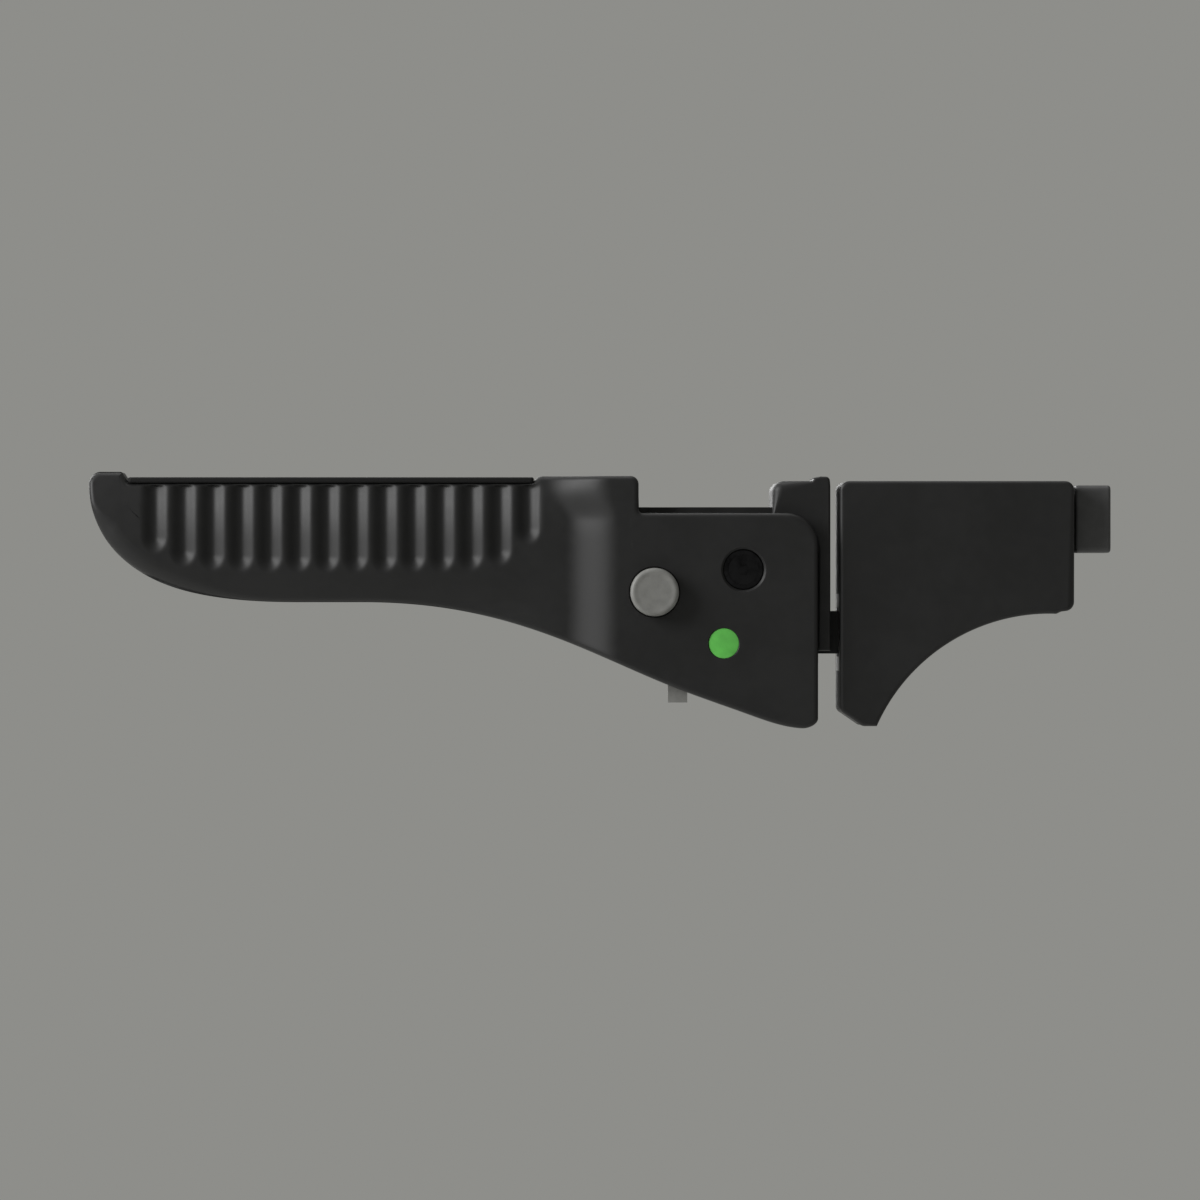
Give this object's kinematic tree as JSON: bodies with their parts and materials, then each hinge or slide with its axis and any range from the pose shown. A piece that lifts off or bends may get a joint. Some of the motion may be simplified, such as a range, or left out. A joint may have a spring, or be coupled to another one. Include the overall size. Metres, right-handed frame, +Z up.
{
  "type": "stair gate latch",
  "caption": "Lifting-handle latch for a metal stair gate: ribbed grip over the gate's top rail, push-button catch, sprung rack-driven bolt and a keeper cap for the post.",
  "frame": {"origin": "centre of the lower mouth of the bore that clamps the gate's end bar", "axes": "+X along the gate from grip to keeper, +Y through the gate to its back, +Z up"},
  "size_m": [0.2542, 0.0435, 0.0637],
  "materials": {
    "body_plastic": "satin black, finely textured",
    "chassis_plastic": "plain black",
    "grip_rubber": "soft, dull black",
    "block_plastic": "dark grey",
    "bolt_plastic": "black, lightly polished by wear",
    "grey_plastic": "light grey, finely textured",
    "green_lens": "clear green, polished",
    "flag_plastic": "white",
    "acetal": "natural white, slippery",
    "shaft_steel": "turned",
    "spring_steel": "drawn wire",
    "cup_steel": "pressed, blackened",
    "zinc_screw": "zinc plated",
    "black_screw": "blackened"
  },
  "bodies": {
    "chassis": {"chassis_front": "chassis_plastic", "chassis_rear": "chassis_plastic", "chassis_screws": "zinc_screw", "end_plate": "body_plastic", "end_plate_screws": "zinc_screw", "shaft_bush_front": "acetal", "shaft_bush_rear": "acetal", "bolt_spring": "spring_steel"},
    "handle": {"handle_shell": "body_plastic", "grip_strip": "grip_rubber", "pivot_shaft": "shaft_steel", "drive_pinion": "acetal", "shaft_screws": "black_screw", "shaft_washers": "black_screw", "indicator_lens_front": "green_lens", "indicator_lens_rear": "green_lens", "catch_arm": "grey_plastic", "catch_screws": "zinc_screw"},
    "bolt": {"bolt": "bolt_plastic", "bolt_flags": "flag_plastic"},
    "button": {"release_button": "grey_plastic"},
    "keeper": {"keeper_housing": "body_plastic", "strike_cup": "cup_steel", "spindle_block": "block_plastic"}
  },
  "joints": [
    {"name": "handle_lift", "type": "hinge", "parent": "chassis", "child": "handle", "pos_m": [0.0342, 0, 0.012], "axis": [0, 1, 0], "range_deg": [0, 90], "deforming": ["catch_arm"]},
    {"name": "bolt_slide", "type": "slide", "parent": "chassis", "child": "bolt", "axis": [-1, 0, 0], "range_m": [0, 0.0118], "stiffness_N_per_m": 150, "springref_m": -0.012, "deforming": ["bolt_spring"]},
    {"name": "button_press", "type": "slide", "parent": "handle", "child": "button", "axis": [0, 1, 0], "range_m": [0, 0.0025], "stiffness_N_per_m": 600, "springref_m": -0.001, "deforming": ["catch_arm"]},
    {"name": "keeper_gap", "type": "slide", "parent": "chassis", "child": "keeper", "axis": [1, 0, 0], "range_m": [0, 0.02]}
  ],
  "couplings": [
    {"joint": "bolt_slide", "follows": "handle_lift", "m_per_rad": 0.0075}
  ]
}
